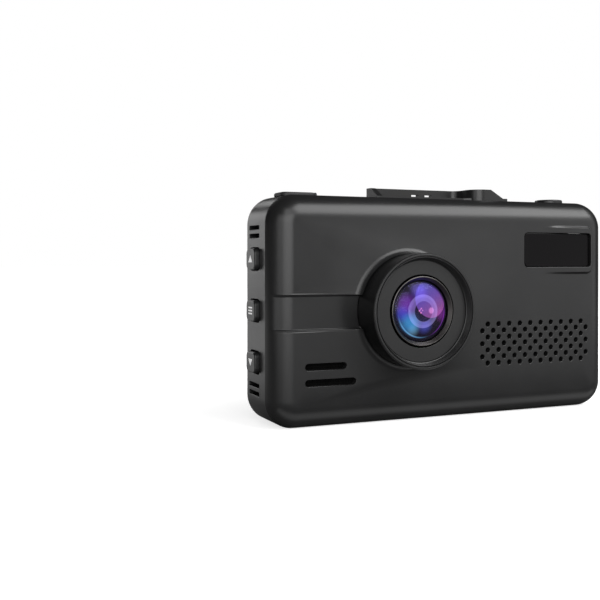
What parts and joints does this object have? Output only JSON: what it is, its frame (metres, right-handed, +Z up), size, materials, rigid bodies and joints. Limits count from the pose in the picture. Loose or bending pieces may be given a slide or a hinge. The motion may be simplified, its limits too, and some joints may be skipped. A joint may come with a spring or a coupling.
{
  "type": "radar detector",
  "caption": "Windscreen dash camera with a built-in radar and laser detector, a rear display, side buttons, a speaker grille and a clip-on bracket on top.",
  "frame": {"origin": "middle of the flat underside that the body can stand on", "axes": "+X to the right as the lens side is faced, the lens looks along -Y, +Z up"},
  "size_m": [0.1014, 0.0287, 0.0591],
  "materials": {
    "case_plastic": "fine satin moulded plastic",
    "cap_plastic": "satin moulded plastic",
    "hood_plastic": "semi-gloss black",
    "inner_plastic": "plain moulded",
    "black_metal": "black anodised, satin",
    "bright_ring": "fine turned",
    "coated_glass": "purple and blue anti-reflection coating",
    "chip_black": "moulded epoxy",
    "tin_plate": "tin plated",
    "window_plastic": "dark infrared-pass plastic, satin",
    "mesh_cloth": "black acoustic cloth or foam tape",
    "cone_paper": "coated paper",
    "die_cast": "cast",
    "circuit_board": "green solder mask",
    "antenna_ceramic": "unglazed",
    "sleeve_plastic": "shrink sleeve",
    "connector_plastic": "moulded",
    "port_rubber": "soft matte rubber",
    "gold_contact": "gold plated",
    "screw_steel": "zinc plated",
    "screen_gloss": "satin-gloss cover plate",
    "lcd_glass": "dark display face",
    "diffuser_white": "white diffuser",
    "flex_film": "polyimide film"
  },
  "bodies": {
    "housing": {"front_shell": "case_plastic", "lens_hood": "hood_plastic", "lens_face_plate": "hood_plastic", "lens_trim_ring": "bright_ring", "lens_barrel": "black_metal", "front_glass": "coated_glass", "middle_element": "coated_glass", "rear_element": "coated_glass", "lens_lock_ring": "hood_plastic", "lens_holder": "inner_plastic", "ir_filter": "coated_glass", "image_sensor": "chip_black", "sensor_board": "circuit_board", "sensor_screws": "screw_steel", "laser_window": "window_plastic", "laser_housing": "inner_plastic", "laser_lens": "coated_glass", "laser_sensor": "chip_black", "speaker_mesh": "mesh_cloth", "vent_mesh": "mesh_cloth", "speaker_basket": "inner_plastic", "speaker_cone": "cone_paper", "speaker_magnet": "tin_plate", "horn_antenna": "die_cast", "radar_board": "circuit_board", "gps_antenna": "antenna_ceramic", "gps_board": "circuit_board", "main_board": "circuit_board", "board_screws": "screw_steel", "processor": "chip_black", "heat_spreader": "die_cast", "memory_chip": "chip_black", "supercapacitors": "sleeve_plastic", "board_connectors": "connector_plastic", "microsd_socket": "tin_plate", "usb_socket": "tin_plate", "usb_board": "circuit_board", "power_board": "circuit_board", "tact_switches": "chip_black", "button_boards": "circuit_board", "mount_bracket": "case_plastic", "contact_block": "inner_plastic", "contact_pads": "gold_contact", "rear_cover": "case_plastic", "case_screws": "screw_steel", "screen_window": "screen_gloss", "window_tape": "mesh_cloth", "lcd_panel": "lcd_glass", "lcd_backlight": "diffuser_white", "lcd_frame": "tin_plate", "lcd_ribbon": "flex_film", "microphone": "tin_plate"},
    "button_up": {"button_up": "cap_plastic"},
    "button_menu": {"button_menu": "cap_plastic"},
    "button_down": {"button_down": "cap_plastic"},
    "button_mute": {"button_mute": "cap_plastic"},
    "button_ok": {"button_ok": "cap_plastic"},
    "button_save": {"button_save": "cap_plastic"},
    "power_button": {"power_button": "cap_plastic"},
    "port_cover": {"port_cover": "port_rubber"}
  },
  "joints": [
    {"name": "button_up_press", "type": "slide", "parent": "housing", "child": "button_up", "axis": [1, 0, 0], "range_m": [0, 0.0004], "stiffness_N_per_m": 3000},
    {"name": "button_menu_press", "type": "slide", "parent": "housing", "child": "button_menu", "axis": [1, 0, 0], "range_m": [0, 0.0004], "stiffness_N_per_m": 3000},
    {"name": "button_down_press", "type": "slide", "parent": "housing", "child": "button_down", "axis": [1, 0, 0], "range_m": [0, 0.0004], "stiffness_N_per_m": 3000},
    {"name": "button_mute_press", "type": "slide", "parent": "housing", "child": "button_mute", "axis": [-1, 0, 0], "range_m": [0, 0.0004], "stiffness_N_per_m": 3000},
    {"name": "button_ok_press", "type": "slide", "parent": "housing", "child": "button_ok", "axis": [-1, 0, 0], "range_m": [0, 0.0004], "stiffness_N_per_m": 3000},
    {"name": "button_save_press", "type": "slide", "parent": "housing", "child": "button_save", "axis": [-1, 0, 0], "range_m": [0, 0.0004], "stiffness_N_per_m": 3000},
    {"name": "power_button_press", "type": "slide", "parent": "housing", "child": "power_button", "axis": [0, 0, -1], "range_m": [0, 0.0004], "stiffness_N_per_m": 3000},
    {"name": "port_cover_hinge", "type": "hinge", "parent": "housing", "child": "port_cover", "pos_m": [-0.0344, 0, 0.05655], "axis": [0, 1, 0], "range_deg": [0, 100]}
  ]
}
